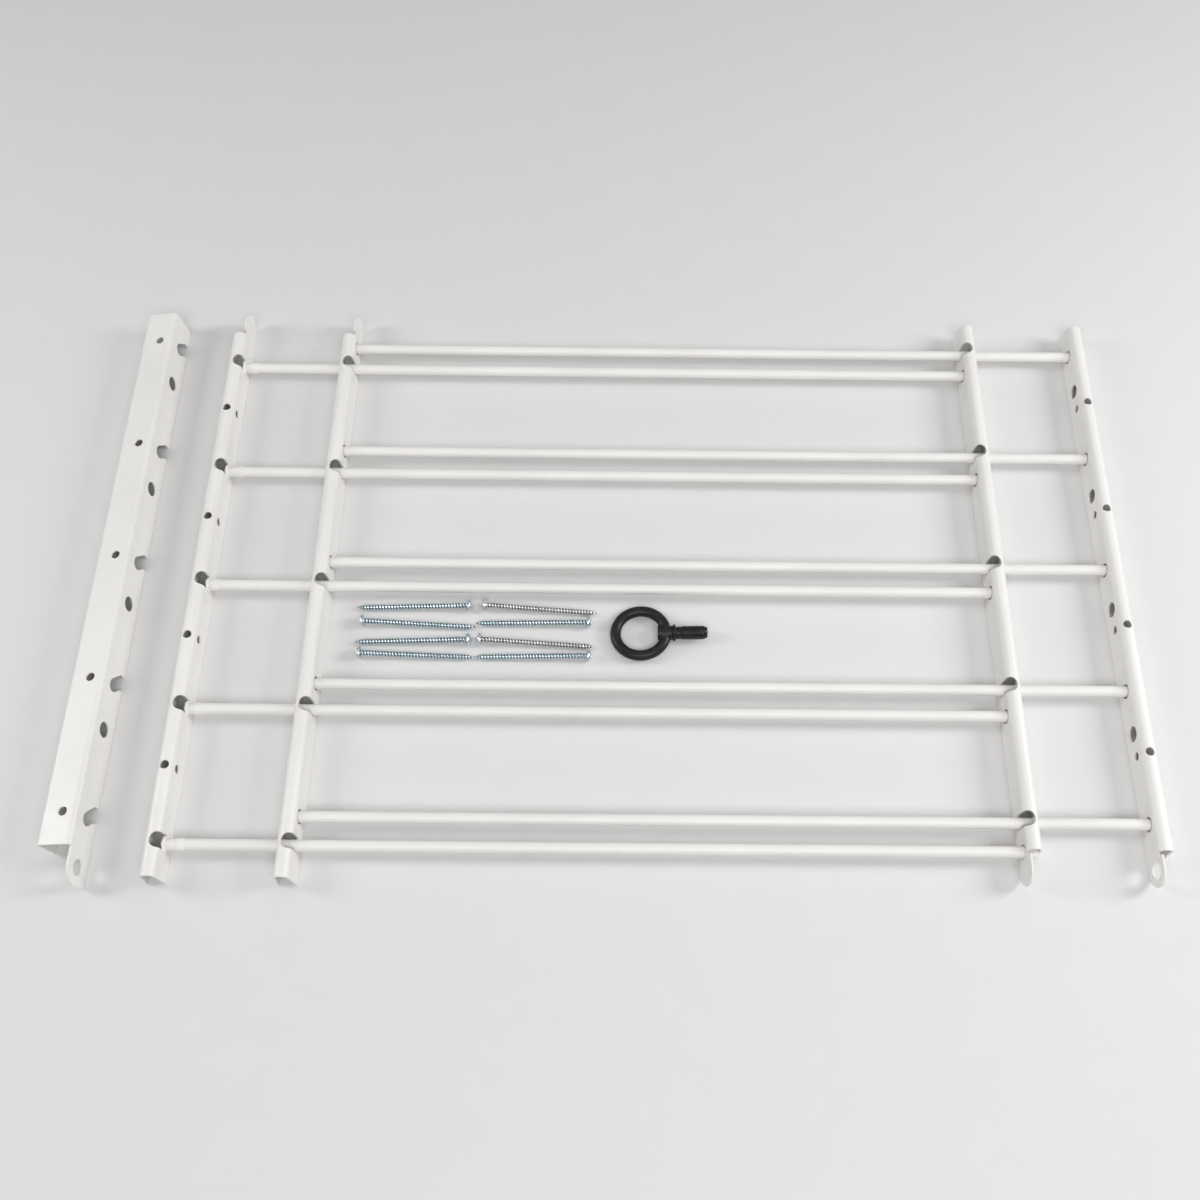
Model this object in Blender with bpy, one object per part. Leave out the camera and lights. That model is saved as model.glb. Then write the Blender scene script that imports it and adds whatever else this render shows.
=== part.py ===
"""Telescoping window guard kit laid out flat: two barred frames, a jamb channel, screws and an eye bolt.

Lengths are metres. +X is to the right, +Y away from the viewer and +Z up from the table.
"""

import math

import bmesh
import bpy
from mathutils import Euler, Matrix, Vector

# Rods: five in each frame, the left frame lying one step nearer than the right one.
ROWS = 5
BAYS = ROWS - 1
ROW_PITCH = 0.0970
FIRST_RIGHT_ROD_Y = 0.2050
LEFT_FRAME_STEP = 0.0198
ROD_HEIGHT = 0.0110
ROD_RADIUS = 0.0040
ROD_CHAMFER = 0.0005
ROD_SIDES = 18
ROD_CLEAR_LENGTH = 0.5724
# A rod stops just inside an opening's flange, or runs through a hole to the far flange behind it.
ROD_BITE = 0.0012
ROD_SEAT = 0.0103

# Frames along X: the faces that the rods run between.
LEFT_FRAME_X = -0.2985
FRAME_OFFSET = 0.0876

# Uprights: rounded-crown channels lying open side down.
UPRIGHT_WIDTH = 0.0135
UPRIGHT_DEPTH = 0.0220
UPRIGHT_SHEET = 0.0015
CROWN_RADIUS = 0.0050
UPRIGHT_SPLAY = 0.0015
CROWN_STEPS = 5
FAR_LUG_ENDS = (0.2125, -0.2265)
NEAR_LUG_ENDS = (0.2280, -0.2035)

# The lug is the end of one flange that runs on past the crown.
LUG_LENGTH = 0.0223
LUG_RADIUS = 0.0110
LUG_STEPS = 14
LUG_NECK = 0.0028
LUG_HOLE_RADIUS = 0.0057

# Rod openings run from the crown over a shoulder and down one flange.
OPENING_WIDTH = 0.0105
OPENING_SHIFT = 0.0010
OPENING_STEPS = 6
END_OPENING_REACH = 0.0085
GUIDE_OPENING_REACH = 0.0092
ROD_HOLE_RADIUS = 0.0051

# Round holes of the end uprights, one set in each bay.
SMALL_HOLE_RADIUS = 0.0030
LARGE_HOLE_RADIUS = 0.0055
SCREW_HOLE_RADIUS = 0.0028
LEFT_HOLE_START = 0.1406
LEFT_HOLE_HEIGHT = 0.0115
RIGHT_HOLE_PITCH = 0.0965
RIGHT_SMALL_HOLE_START = 0.1551
RIGHT_LARGE_HOLE_START = 0.1714
RIGHT_HOLE_HEIGHT = 0.0110

# Jamb channel: its left flange is the shorter one, so it lies tilted on its flanges' free edges.
JAMB_FOOT_X = -0.3536
JAMB_WIDTH = 0.0245
JAMB_DEPTH = 0.0260
JAMB_SHORT_DEPTH = 0.0221
JAMB_SHEET = 0.0015
JAMB_BEND = 0.0028
JAMB_BEND_STEPS = 3
JAMB_ENDS = (0.2278, -0.2070)
JAMB_TILT = math.atan((JAMB_DEPTH - JAMB_SHORT_DEPTH) / (JAMB_WIDTH - JAMB_SHEET))
JAMB_CORNER = 0.0050
EAR_LENGTH = 0.0242
EAR_CORNER = 0.0116
EAR_STEPS = 8
EAR_HOLE_RADIUS = 0.0056
EAR_HOLE_FROM_TIP = 0.0120
EAR_HOLE_HEIGHT = 0.0114
# A slot opens at the right flange's free edge, then slants up and nearer to a round pocket.
SLOT_START = 0.2051
SLOT_MOUTH = (0.0070, -0.0036)
SLOT_POCKET = (-0.0031, 0.0113)
SLOT_RADIUS = 0.0049
SLOT_SLANT = 56
SLOT_STEPS = 10
WEB_HOLE_RADIUS = 0.0031
WEB_HOLE_START = 0.2016
WEB_HOLE_PITCH = 0.0965
WEB_HOLE_FROM_RIGHT = 0.0100
ACCESS_HOLE_START = 0.1683
ACCESS_HOLE_HEIGHT = 0.0122

# Screws: pan head, cross recess, threaded up to the head.
SCREW_LENGTH = 0.0850
SCREW_RADIUS = 0.0024
SCREW_TIP_RADIUS = 0.0004
SCREW_TIP_LENGTH = 0.0055
SCREW_HEAD_RADIUS = 0.0046
SCREW_HEAD_HEIGHT = 0.0032
SCREW_HEAD_STEPS = 4
SCREW_DOME_START = 65
SCREW_DOME_DEPTH = 0.0019
SCREW_CROWN_SHARE = 0.55
SCREW_SIDES = 14
RECESS_WIDTH = 0.0011
RECESS_SPAN = 0.0050
RECESS_DEPTH = 0.0015
# For each screw: X and Y of the head's top, then X and Y that the tip points to.
SCREW_PLACES = (
    (-0.1063, -0.0204, -0.1920, -0.0220),
    (-0.0992, -0.0197, -0.0128, -0.0247),
    (-0.1878, -0.0335, -0.1036, -0.0368),
    (-0.0183, -0.0331, -0.1027, -0.0337),
    (-0.1054, -0.0477, -0.1896, -0.0495),
    (-0.1013, -0.0472, -0.0151, -0.0518),
    (-0.1877, -0.0590, -0.1022, -0.0609),
    (-0.0178, -0.0597, -0.1026, -0.0606),
)

# Eye bolt: forged ring, boss, collar and locking shank along its own +X.
EYE_CENTRE = (0.0178, -0.0416)
EYE_HALF_LENGTH = 0.0184
EYE_HALF_WIDTH = 0.0176
EYE_SECTION_RADIUS = 0.0039
EYE_RING_STEPS = 30
EYE_SECTION_STEPS = 12
BOSS_START = 0.0124
BOSS_RADIUS = 0.0056
BOSS_END = 0.0234
COLLAR_END = 0.0254
COLLAR_RADIUS = 0.0062
RELIEF_END = 0.0300
RELIEF_RADIUS = 0.0045
SHANK_RADIUS = 0.0051
SHANK_TIP_RADIUS = 0.0036
SHANK_CHAMFER = 0.0034
SHANK_END = 0.0486
BOLT_SIDES = 24

# Moves the whole kit so that its outline is centred on the origin.
KIT_SHIFT = (0.0026, -0.0018)

HOLE_SIDES = 16
CUT_MARGIN = 0.0020
WELD = 1e-6
SMOOTH_ANGLE = math.radians(35)

LEFT_RODS_Y = [FIRST_RIGHT_ROD_Y - LEFT_FRAME_STEP - ROW_PITCH * i for i in range(ROWS)]
RIGHT_RODS_Y = [FIRST_RIGHT_ROD_Y - ROW_PITCH * i for i in range(ROWS)]


def clear_scene():
    """Empty the scene before building."""
    for obj in list(bpy.data.objects):
        bpy.data.objects.remove(obj)


def material(name, colour, roughness, metallic):
    """Return a plain Principled material."""
    made = bpy.data.materials.new(name)
    made.use_nodes = True
    made.diffuse_color = (*colour, 1.0)
    shader = made.node_tree.nodes["Principled BSDF"]
    shader.inputs["Base Color"].default_value = (*colour, 1.0)
    shader.inputs["Roughness"].default_value = roughness
    shader.inputs["Metallic"].default_value = metallic
    return made


def add_object(name, form, surface=None):
    """Weld and orient a bmesh, and put it in the scene as an object."""
    bmesh.ops.remove_doubles(form, verts=form.verts, dist=WELD)
    bmesh.ops.recalc_face_normals(form, faces=form.faces)
    mesh = bpy.data.meshes.new(name)
    form.to_mesh(mesh)
    form.free()
    obj = bpy.data.objects.new(name, mesh)
    bpy.context.scene.collection.objects.link(obj)
    if surface:
        mesh.materials.append(surface)
    return obj


def add_face(form, points):
    """Add one face with its own corners; they are welded later."""
    form.faces.new([form.verts.new(point) for point in points])


def add_prism(form, near, far):
    """Add a closed prism between two matching outlines."""
    count = len(near)
    for i in range(count):
        j = (i + 1) % count
        add_face(form, (near[i], near[j], far[j], far[i]))
    add_face(form, near)
    add_face(form, far)


def add_cylinder(form, centre, axis, radius, length, sides=HOLE_SIDES):
    """Add a closed cylinder centred on a point, along a main axis."""
    turn = Vector((0, 0, 1)).rotation_difference(Vector(axis)).to_matrix().to_4x4()
    place = Matrix.Translation(centre) @ turn
    bmesh.ops.create_cone(
        form, cap_ends=True, segments=sides, radius1=radius, radius2=radius, depth=length, matrix=place
    )


def add_turned(form, profile, sides):
    """Add a body turned about +X. The profile is a list of (x, radius), and both ends are closed."""
    rings = []
    for x, radius in profile:
        ring = []
        for i in range(sides):
            angle = math.tau * i / sides
            ring.append(form.verts.new((x, radius * math.cos(angle), radius * math.sin(angle))))
        rings.append(ring)
    for first, second in zip(rings, rings[1:]):
        for i in range(sides):
            j = (i + 1) % sides
            form.faces.new((first[i], first[j], second[j], second[i]))
    form.faces.new(rings[0])
    form.faces.new(rings[-1])


def combine(obj, form, name, operation):
    """Cut a bmesh out of an object, or add it, with a hidden helper object."""
    helper = add_object(name, form)
    helper.hide_render = True
    helper.display_type = "WIRE"
    helper.parent = obj
    modifier = obj.modifiers.new(name, "BOOLEAN")
    modifier.operation = operation
    modifier.solver = "EXACT"
    modifier.object = helper


def cut(obj, form, name):
    """Cut a bmesh out of an object."""
    combine(obj, form, name, "DIFFERENCE")


def smooth(obj):
    """Shade smooth, keeping the sharp edges."""
    obj.data.shade_smooth()
    obj.data.set_sharp_from_angle(angle=SMOOTH_ANGLE)


def arc(centre, radius, start, end, steps):
    """Return the points of an arc. Its angles are in degrees."""
    points = []
    for i in range(steps + 1):
        angle = math.radians(start + (end - start) * i / steps)
        points.append((centre[0] + radius * math.cos(angle), centre[1] + radius * math.sin(angle)))
    return points


def channel_section(centre_x, width, depth, sheet, bend, steps, left_foot=0, splay=0):
    """Return the section's left flange, crown and right flange as (x, z) outlines, feet set out by splay."""
    left = centre_x - width / 2
    right = centre_x + width / 2
    bend_z = depth - bend
    inner = bend - sheet
    high_left = left + splay
    high_right = right - splay
    left_flange = [(left, left_foot), (high_left, bend_z)]
    left_flange += [(high_left + sheet, bend_z), (left + sheet, left_foot)]
    right_flange = [(right - sheet, 0), (high_right - sheet, bend_z), (high_right, bend_z), (right, 0)]
    crown = arc((high_left + bend, bend_z), bend, 180, 90, steps)
    crown += arc((high_right - bend, bend_z), bend, 90, 0, steps)
    crown += arc((high_right - bend, bend_z), inner, 0, 90, steps)
    crown += arc((high_left + bend, bend_z), inner, 90, 180, steps)
    return {"left": left_flange, "crown": crown, "right": right_flange}


def add_channel(form, section, ends, open_ends):
    """Add the channel's walls and end faces, leaving open each flange end that a lug carries on."""
    half = len(section["crown"]) // 2
    left, crown, right = section["left"], section["crown"], section["right"]
    outline = left[:1] + crown[:half] + [right[3], right[0]] + crown[half:] + [left[3]]
    for (x1, z1), (x2, z2) in zip(outline, outline[1:] + outline[:1]):
        corners = [(x1, ends[0], z1), (x2, ends[0], z2), (x2, ends[1], z2), (x1, ends[1], z1)]
        add_face(form, corners)
    for index, y in enumerate(ends):
        for side, piece in section.items():
            if (side, index) not in open_ends:
                add_face(form, [(x, y, z) for x, z in piece])


def add_lug(form, outline, x_low, x_high, lean=0):
    """Add a flat lug that leans with its flange. The outline's first and last points meet the open end."""
    faces = [[(x + lean * z, y, z) for y, z in outline] for x in (x_low, x_high)]
    for corners in faces:
        add_face(form, corners)
    for low1, low2, high1, high2 in zip(faces[0], faces[0][1:], faces[1], faces[1][1:]):
        add_face(form, [low1, low2, high2, high1])


def upright_lug_outline(start, way):
    """Side view of an upright's lug: a neck at the crown, then a round end as high as the upright."""
    centre = start + way * (LUG_LENGTH - LUG_RADIUS)
    neck = start + way * LUG_NECK
    bend_z = UPRIGHT_DEPTH - CROWN_RADIUS
    outline = [(start, 0)]
    for along, z in arc((0, LUG_RADIUS), LUG_RADIUS, -90, 90, LUG_STEPS):
        outline.append((centre + way * along, z))
    outline += [(neck, UPRIGHT_DEPTH), (neck, bend_z), (start, bend_z)]
    return outline


def jamb_ear_outline():
    """Side view of the jamb channel's ear: its lower corner square, its upper one round about the hole."""
    tip = JAMB_ENDS[1] - EAR_LENGTH
    top = JAMB_DEPTH - JAMB_BEND
    outline = [(JAMB_ENDS[1], 0), (tip, 0)]
    outline += arc((tip + EAR_CORNER, top - EAR_CORNER), EAR_CORNER, 180, 90, EAR_STEPS)
    outline.append((JAMB_ENDS[1], top))
    return outline


def add_shoulder_openings(form, face_x, inward, reach, rows):
    """Add the shapes that cut the rod openings: obround from above, half-round at the flange's foot."""
    half = OPENING_WIDTH / 2
    top = UPRIGHT_DEPTH + CUT_MARGIN
    outside = face_x - inward * CUT_MARGIN
    for rod_y in rows:
        y = rod_y + OPENING_SHIFT
        plan = [(outside, y - half)]
        for along, across in arc((reach - half, y), half, -90, 90, OPENING_STEPS):
            plan.append((face_x + inward * along, across))
        plan.append((outside, y + half))
        add_prism(form, [(x, py, ROD_HEIGHT) for x, py in plan], [(x, py, top) for x, py in plan])


def add_flange_holes(form, face_x, inward, places, radius, height):
    """Add the cylinders that cut round holes through one flange."""
    depth = UPRIGHT_SHEET + 2 * CUT_MARGIN
    x = face_x + inward * UPRIGHT_SHEET / 2
    for y in places:
        add_cylinder(form, (x, y, height), (1, 0, 0), radius, depth)


def add_top_holes(form, x, places, radius, top):
    """Add the cylinders that cut round holes down through a crown or web."""
    depth = UPRIGHT_SHEET + 2 * CUT_MARGIN
    for y in places:
        add_cylinder(form, (x, y, top - UPRIGHT_SHEET / 2), (0, 0, 1), radius, depth)


def run_of(start, pitch, count):
    """Return places that start far away and come nearer by one pitch at a time."""
    return [start - pitch * i for i in range(count)]


def upright(name, lug, holed, surface):
    """Build one upright with its left face at x = 0, its lug on the far right or the near left."""
    section = channel_section(
        UPRIGHT_WIDTH / 2, UPRIGHT_WIDTH, UPRIGHT_DEPTH, UPRIGHT_SHEET, CROWN_RADIUS, CROWN_STEPS,
        splay=UPRIGHT_SPLAY,
    )
    form = bmesh.new()
    lean = UPRIGHT_SPLAY / (UPRIGHT_DEPTH - CROWN_RADIUS)
    if lug == "far right":
        ends, index, side, way, lean = FAR_LUG_ENDS, 0, "right", 1, -lean
    else:
        ends, index, side, way = NEAR_LUG_ENDS, 1, "left", -1
    x_low = section[side][0][0]
    x_high = x_low + UPRIGHT_SHEET
    add_channel(form, section, ends, {(side, index)})
    add_lug(form, upright_lug_outline(ends[index], way), x_low, x_high, lean)
    obj = add_object(name, form, surface)
    if holed:
        centre_y = ends[index] + way * (LUG_LENGTH - LUG_RADIUS)
        cut_flange_holes(obj, x_low, 1, [centre_y], LUG_HOLE_RADIUS, LUG_RADIUS, "_lug_hole")
    return obj


def cut_shoulder_openings(obj, face_x, inward, reach, rows):
    """Cut the openings that the rods lie in, from above and then at the flange's foot."""
    form = bmesh.new()
    add_shoulder_openings(form, face_x, inward, reach, rows)
    cut(obj, form, obj.name + "_openings")
    places = [y + OPENING_SHIFT for y in rows]
    cut_flange_holes(obj, face_x, inward, places, OPENING_WIDTH / 2, ROD_HEIGHT, "_opening_feet")


def cut_flange_holes(obj, face_x, inward, places, radius, height, label):
    """Cut one row of round holes in a flange."""
    form = bmesh.new()
    add_flange_holes(form, face_x, inward, places, radius, height)
    cut(obj, form, obj.name + label)


def cut_top_holes(obj, x, places, radius, top, label):
    """Cut one row of round holes in a crown or web."""
    form = bmesh.new()
    add_top_holes(form, x, places, radius, top)
    cut(obj, form, obj.name + label)


def left_end_upright(surface):
    """Left end upright: the left frame's rods end in openings over its right shoulder."""
    obj = upright("left_end_upright", "far right", False, surface)
    bays = run_of(LEFT_HOLE_START, ROW_PITCH, BAYS)
    cut_shoulder_openings(obj, UPRIGHT_WIDTH, -1, END_OPENING_REACH, LEFT_RODS_Y)
    cut_flange_holes(obj, UPRIGHT_WIDTH, -1, bays, SMALL_HOLE_RADIUS, LEFT_HOLE_HEIGHT, "_small_holes")
    cut_top_holes(obj, UPRIGHT_WIDTH / 2, bays, SMALL_HOLE_RADIUS, UPRIGHT_DEPTH, "_crown_holes")
    return obj


def right_guide_upright(surface):
    """The right frame's left upright: it slides along the left frame's rods."""
    obj = upright("right_guide_upright", "far right", False, surface)
    cut_shoulder_openings(obj, UPRIGHT_WIDTH, -1, GUIDE_OPENING_REACH, LEFT_RODS_Y)
    cut_flange_holes(obj, 0, 1, LEFT_RODS_Y, ROD_HOLE_RADIUS, ROD_HEIGHT, "_guide_holes")
    cut_flange_holes(obj, UPRIGHT_WIDTH, -1, RIGHT_RODS_Y, ROD_HOLE_RADIUS, ROD_HEIGHT, "_rod_holes")
    return obj


def left_guide_upright(surface):
    """The left frame's right upright: the right frame's rods slide through it."""
    obj = upright("left_guide_upright", "near left", False, surface)
    cut_shoulder_openings(obj, 0, 1, GUIDE_OPENING_REACH, RIGHT_RODS_Y)
    cut_flange_holes(obj, UPRIGHT_WIDTH, -1, RIGHT_RODS_Y, ROD_HOLE_RADIUS, ROD_HEIGHT, "_guide_holes")
    cut_flange_holes(obj, 0, 1, LEFT_RODS_Y, ROD_HOLE_RADIUS, ROD_HEIGHT, "_rod_holes")
    return obj


def right_end_upright(surface):
    """Right end upright: screwed to the jamb through small holes behind large ones."""
    obj = upright("right_end_upright", "near left", True, surface)
    large = run_of(RIGHT_LARGE_HOLE_START, RIGHT_HOLE_PITCH, BAYS)
    small = run_of(RIGHT_SMALL_HOLE_START, RIGHT_HOLE_PITCH, BAYS)
    height = RIGHT_HOLE_HEIGHT
    cut_flange_holes(obj, 0, 1, RIGHT_RODS_Y, ROD_HOLE_RADIUS, ROD_HEIGHT, "_rod_holes")
    cut_flange_holes(obj, 0, 1, large, LARGE_HOLE_RADIUS, height, "_access_holes")
    cut_flange_holes(obj, 0, 1, small, SMALL_HOLE_RADIUS, height, "_small_holes")
    cut_flange_holes(obj, UPRIGHT_WIDTH, -1, large, SCREW_HOLE_RADIUS, height, "_screw_holes")
    cut_top_holes(obj, UPRIGHT_WIDTH / 2, small, SMALL_HOLE_RADIUS, UPRIGHT_DEPTH, "_crown_holes")
    return obj


def slot_outline(y):
    """Side view of one slot of the jamb channel's right flange."""
    slope = math.tan(math.radians(SLOT_SLANT))
    pocket = (y + SLOT_POCKET[0], SLOT_POCKET[1])
    turn = 90 - SLOT_SLANT
    round_end = arc(pocket, SLOT_RADIUS, turn, turn + 180, SLOT_STEPS)
    far, near = y + SLOT_MOUTH[0], y + SLOT_MOUTH[1]
    far_z = round_end[0][1] - slope * (far - round_end[0][0])
    near_z = round_end[-1][1] - slope * (near - round_end[-1][0])
    return [(far, -CUT_MARGIN), (far, far_z)] + round_end + [(near, near_z), (near, -CUT_MARGIN)]


def cut_slots(obj):
    """Cut the slots that the rods drop into."""
    form = bmesh.new()
    for y in run_of(SLOT_START, ROW_PITCH, ROWS):
        outline = slot_outline(y)
        near = [(-CUT_MARGIN, py, z) for py, z in outline]
        far = [(JAMB_SHEET + CUT_MARGIN, py, z) for py, z in outline]
        add_prism(form, near, far)
    cut(obj, form, "jamb_slots")


def cut_far_corner(obj):
    """Round the lower corner of the right flange's far end."""
    end = JAMB_ENDS[0]
    outline = [(end - JAMB_CORNER, -CUT_MARGIN)]
    outline += arc((end - JAMB_CORNER, JAMB_CORNER), JAMB_CORNER, 270, 360, EAR_STEPS)
    outline += [(end + CUT_MARGIN, JAMB_CORNER), (end + CUT_MARGIN, -CUT_MARGIN)]
    form = bmesh.new()
    near = [(-CUT_MARGIN, y, z) for y, z in outline]
    far = [(JAMB_SHEET + CUT_MARGIN, y, z) for y, z in outline]
    add_prism(form, near, far)
    cut(obj, form, "jamb_far_corner")


def jamb_channel(surface):
    """Jamb channel, open side down. Its own x = 0 is the right flange's inner face, where it stands."""
    left = JAMB_SHEET - JAMB_WIDTH
    centre = left + JAMB_WIDTH / 2
    foot = JAMB_DEPTH - JAMB_SHORT_DEPTH
    section = channel_section(
        centre, JAMB_WIDTH, JAMB_DEPTH, JAMB_SHEET, JAMB_BEND, JAMB_BEND_STEPS, foot
    )
    form = bmesh.new()
    add_channel(form, section, JAMB_ENDS, {("right", 1)})
    add_lug(form, jamb_ear_outline(), 0, JAMB_SHEET)
    obj = add_object("jamb_channel", form, surface)
    obj.location.x = JAMB_FOOT_X
    obj.rotation_euler.y = -JAMB_TILT
    access = run_of(ACCESS_HOLE_START, ROW_PITCH, BAYS)
    ear_hole = [JAMB_ENDS[1] - EAR_LENGTH + EAR_HOLE_FROM_TIP]
    web = run_of(WEB_HOLE_START, WEB_HOLE_PITCH, ROWS)
    web_x = JAMB_SHEET - WEB_HOLE_FROM_RIGHT
    cut_slots(obj)
    cut_far_corner(obj)
    cut_flange_holes(obj, 0, 1, access, LARGE_HOLE_RADIUS, ACCESS_HOLE_HEIGHT, "_access_holes")
    cut_flange_holes(obj, left, 1, access, SCREW_HOLE_RADIUS, ACCESS_HOLE_HEIGHT, "_screw_holes")
    cut_flange_holes(obj, 0, 1, ear_hole, EAR_HOLE_RADIUS, EAR_HOLE_HEIGHT, "_ear_hole")
    cut_top_holes(obj, web_x, web, WEB_HOLE_RADIUS, JAMB_DEPTH, "_web_holes")
    return obj


def rod(name, y, start_reach, surface):
    """Round rod with broken ends, lying along +X. Its start reaches into the first upright."""
    length = start_reach + ROD_CLEAR_LENGTH + ROD_SEAT
    small = ROD_RADIUS - ROD_CHAMFER
    profile = [(0, small), (ROD_CHAMFER, ROD_RADIUS), (length - ROD_CHAMFER, ROD_RADIUS), (length, small)]
    form = bmesh.new()
    add_turned(form, profile, ROD_SIDES)
    obj = add_object(name, form, surface)
    obj.location = (-start_reach, y, ROD_HEIGHT)
    smooth(obj)
    return obj


def barred_frame(side, x, rods_y, start_reach, start_upright, end_upright, surface):
    """Gather two uprights and five rods under one empty, whose x is the start of the clear rod length."""
    empty = bpy.data.objects.new(side + "_frame", None)
    bpy.context.scene.collection.objects.link(empty)
    empty.location.x = x
    start_upright.location.x = -UPRIGHT_WIDTH
    end_upright.location.x = ROD_CLEAR_LENGTH
    rods = [rod(f"{side}_rod_{i + 1}", y, start_reach, surface) for i, y in enumerate(rods_y)]
    for piece in [start_upright, end_upright] + rods:
        piece.parent = empty


def screw_profile():
    """Return the screw's outline from the crown of its domed head, at x = 0, to its tip."""
    profile = []
    dome = arc((0, 0), 1, SCREW_DOME_START, 0, SCREW_HEAD_STEPS)
    first_across, first_up = dome[0]
    for across, up in dome:
        share = (across - first_across) / (1 - first_across)
        along = SCREW_DOME_DEPTH * (1 - up / first_up)
        profile.append((along, SCREW_HEAD_RADIUS * (SCREW_CROWN_SHARE + (1 - SCREW_CROWN_SHARE) * share)))
    profile.append((SCREW_HEAD_HEIGHT, SCREW_HEAD_RADIUS))
    profile.append((SCREW_HEAD_HEIGHT, SCREW_RADIUS))
    profile.append((SCREW_LENGTH - SCREW_TIP_LENGTH, SCREW_RADIUS))
    profile.append((SCREW_LENGTH, SCREW_TIP_RADIUS))
    return profile


def cut_recess(obj):
    """Cut the cross recess in a screw's head."""
    wide = RECESS_WIDTH / 2
    span = RECESS_SPAN / 2
    quarter = [(wide, wide), (wide, span), (-wide, span)]
    cross = []
    for _ in range(4):
        cross += quarter
        quarter = [(-z, y) for y, z in quarter]
    form = bmesh.new()
    add_prism(form, [(-CUT_MARGIN, y, z) for y, z in cross], [(RECESS_DEPTH, y, z) for y, z in cross])
    cut(obj, form, obj.name + "_recess")


def pan_head_screw(name, place, surface):
    """Pan-head screw lying with its head's rim and its tip on the table."""
    head_x, head_y, toward_x, toward_y = place
    form = bmesh.new()
    add_turned(form, screw_profile(), SCREW_SIDES)
    obj = add_object(name, form, surface)
    smooth(obj)
    cut_recess(obj)
    bearing_length = SCREW_LENGTH - SCREW_HEAD_HEIGHT - SCREW_TIP_LENGTH
    drop = math.asin((SCREW_HEAD_RADIUS - SCREW_RADIUS) / bearing_length)
    heading = math.atan2(toward_y - head_y, toward_x - head_x)
    lift = SCREW_HEAD_RADIUS * math.cos(drop) + SCREW_HEAD_HEIGHT * math.sin(drop)
    obj.rotation_euler = Euler((0, drop, heading))
    obj.location = (head_x, head_y, lift)
    return obj


def eye_ring_form():
    """Slightly oval ring of round section lying flat."""
    form = bmesh.new()
    rings = []
    for i in range(EYE_RING_STEPS):
        turn = math.tau * i / EYE_RING_STEPS
        ring = []
        for out, z in arc((0, 0), EYE_SECTION_RADIUS, 0, 360, EYE_SECTION_STEPS)[:-1]:
            x = (EYE_HALF_LENGTH + out) * math.cos(turn)
            y = (EYE_HALF_WIDTH + out) * math.sin(turn)
            ring.append(form.verts.new((x, y, z)))
        rings.append(ring)
    for first, second in zip(rings, rings[1:] + rings[:1]):
        for i in range(EYE_SECTION_STEPS):
            j = (i + 1) % EYE_SECTION_STEPS
            form.faces.new((first[i], first[j], second[j], second[i]))
    return form


def eye_stem_form():
    """Boss, collar and shank of the eye bolt, turned about its axis."""
    profile = [(BOSS_START, BOSS_RADIUS), (BOSS_END, BOSS_RADIUS), (BOSS_END, COLLAR_RADIUS)]
    profile += [(COLLAR_END, COLLAR_RADIUS), (COLLAR_END, RELIEF_RADIUS)]
    profile += [(RELIEF_END, RELIEF_RADIUS), (RELIEF_END, SHANK_RADIUS)]
    profile += [(SHANK_END - SHANK_CHAMFER, SHANK_RADIUS), (SHANK_END, SHANK_TIP_RADIUS)]
    form = bmesh.new()
    add_turned(form, profile, BOLT_SIDES)
    return form


def eye_bolt(surface):
    """Eye bolt resting on its ring's left side and on its collar."""
    obj = add_object("eye_bolt", eye_ring_form(), surface)
    smooth(obj)
    combine(obj, eye_stem_form(), "eye_bolt_stem", "UNION")
    reach = EYE_HALF_LENGTH + BOSS_END
    tilt = math.asin((COLLAR_RADIUS - EYE_SECTION_RADIUS) / reach)
    obj.rotation_euler = Euler((0, -tilt, 0))
    obj.location = (*EYE_CENTRE, EYE_SECTION_RADIUS + EYE_HALF_LENGTH * math.sin(tilt))
    return obj


def build():
    """Build the whole kit."""
    clear_scene()
    coating = material("white_powder_coat", (0.80, 0.80, 0.785), 0.42, 0.0)
    zinc = material("zinc_plate", (0.66, 0.70, 0.78), 0.30, 1.0)
    black = material("black_oxide", (0.018, 0.019, 0.022), 0.38, 0.6)
    jamb_channel(coating)
    left_ends = (left_end_upright(coating), left_guide_upright(coating))
    right_ends = (right_guide_upright(coating), right_end_upright(coating))
    barred_frame("left", LEFT_FRAME_X, LEFT_RODS_Y, ROD_BITE, *left_ends, coating)
    barred_frame("right", LEFT_FRAME_X + FRAME_OFFSET, RIGHT_RODS_Y, ROD_SEAT, *right_ends, coating)
    for i, place in enumerate(SCREW_PLACES):
        pan_head_screw(f"screw_{i + 1}", place, zinc)
    eye_bolt(black)
    for obj in bpy.data.objects:
        if obj.parent is None:
            obj.location.x += KIT_SHIFT[0]
            obj.location.y += KIT_SHIFT[1]


build()
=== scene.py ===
import math

import bmesh
import bpy
import numpy as np
from mathutils import Euler, Matrix, Vector


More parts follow.
